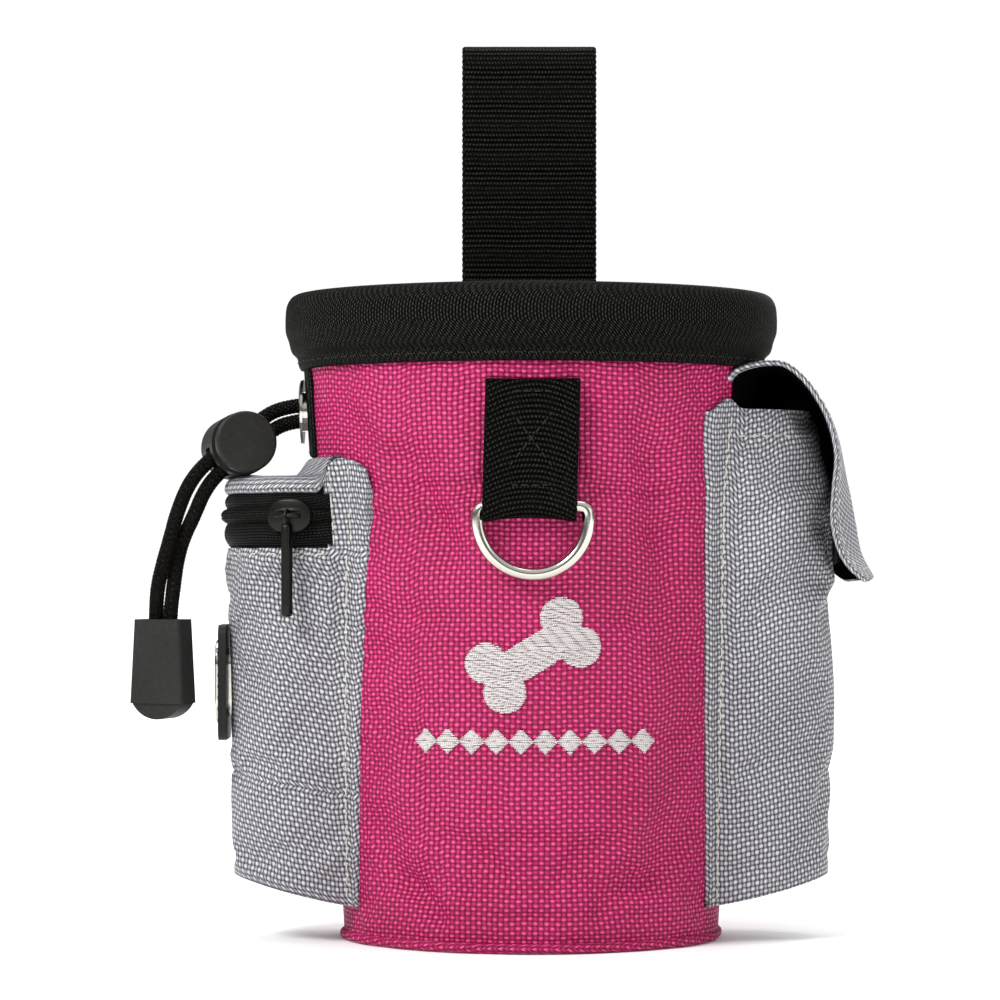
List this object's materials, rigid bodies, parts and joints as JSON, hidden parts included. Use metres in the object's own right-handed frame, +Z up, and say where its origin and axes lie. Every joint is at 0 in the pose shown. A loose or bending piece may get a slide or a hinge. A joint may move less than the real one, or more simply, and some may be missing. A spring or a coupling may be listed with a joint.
{
  "type": "treat pouch",
  "caption": "Round fabric training pouch with stiff bound mouth, drawcord closure, zip bag pocket, flap pocket, D-ring and webbing belt loop.",
  "frame": {"origin": "centre of the underside of the base, where the pouch stands", "axes": "+Z up through the mouth, -Y towards the front with the D-ring, +X towards the flap pocket, -X towards the zip pocket and the drawcord"},
  "size_m": [0.2045, 0.1275, 0.2586],
  "materials": {
    "body_fabric": "coarse woven nylon, satin",
    "pocket_fabric": "coarse woven polyester",
    "lining_fabric": "plain woven nylon",
    "binding": "ribbed tape",
    "webbing": "woven webbing",
    "cord": "braided",
    "thread": "embroidery thread, satin",
    "hook_loop": "hook and loop",
    "zip_tape": "woven tape",
    "zip_coil": "nylon coil",
    "moulded": "fine texture",
    "plate": "fine texture",
    "board": "plain sheet",
    "nickel": "polished nickel",
    "black_metal": "semi-gloss",
    "spring_steel": "plain wire"
  },
  "bodies": {
    "pouch": {"outer_shell": "body_fabric", "base_panel": "body_fabric", "base_stiffener": "board", "lining": "lining_fabric", "closure_collar": "lining_fabric", "rim_binding": "binding", "rim_hoop": "board", "drawcord_loop": "cord", "drawcord_tail_upper": "cord", "drawcord_tail_lower": "cord", "eyelet_patch": "binding", "cord_eyelet": "nickel", "eyelet_washer": "nickel", "lock_barrel": "moulded", "lock_spring": "spring_steel", "cord_end_housing": "moulded", "cord_end_cap": "moulded", "cord_end_knot": "cord", "zip_pocket_wall": "pocket_fabric", "zip_pocket_floor": "pocket_fabric", "zip_pocket_top": "pocket_fabric", "zip_tape_lower": "zip_tape", "zip_tape_upper": "zip_tape", "zip_coil_lower": "zip_coil", "zip_coil_upper": "zip_coil", "dispenser_plate": "plate", "dispenser_eyelet": "nickel", "flap_pocket_wall": "pocket_fabric", "flap_pocket_floor": "pocket_fabric", "flap_pocket_lining": "lining_fabric", "flap_root": "pocket_fabric", "pocket_hook_tape": "hook_loop", "ring_webbing": "webbing", "belt_loop_anchor": "webbing", "embroidered_bone": "thread", "embroidered_border": "thread"},
    "zip_slider": {"zip_slider": "black_metal"},
    "zip_puller": {"zip_puller": "black_metal"},
    "flap": {"flap_outer": "pocket_fabric", "flap_lining": "lining_fabric", "flap_loop_tape": "hook_loop"},
    "ring": {"d_ring": "nickel"},
    "lock_button": {"lock_plunger": "moulded"},
    "belt_loop": {"belt_loop": "webbing"}
  },
  "joints": [
    {"name": "zip_slider_travel", "type": "hinge", "parent": "pouch", "child": "zip_slider", "pos_m": [-0.0566, 0, 0.1172], "axis": [0, 0, -1], "range_deg": [0, 125]},
    {"name": "zip_puller_swing", "type": "hinge", "parent": "zip_slider", "child": "zip_puller", "pos_m": [-0.06635, -0.03001, 0.1172], "axis": [-0.9511, 0.309, 0], "range_deg": [0, 90]},
    {"name": "flap_open", "type": "hinge", "parent": "pouch", "child": "flap", "pos_m": [0.0686, 0, 0.1582], "axis": [0, -1, 0], "range_deg": [0, 105]},
    {"name": "d_ring_swing", "type": "hinge", "parent": "pouch", "child": "ring", "pos_m": [0, -0.05441, 0.1195], "axis": [-1, 0, 0], "range_deg": [0, 150]},
    {"name": "lock_button_press", "type": "slide", "parent": "pouch", "child": "lock_button", "axis": [-0.3078, 0.9474, -0.0872], "range_m": [0, 0.003], "stiffness_N_per_m": 800, "springref_m": -0.004, "deforming": ["lock_spring"]},
    {"name": "belt_loop_tilt", "type": "hinge", "parent": "pouch", "child": "belt_loop", "pos_m": [0, 0.0594, 0.1574], "axis": [-1, 0, 0], "range_deg": [0, 98], "stiffness_Nm_per_rad": 0.03}
  ]
}
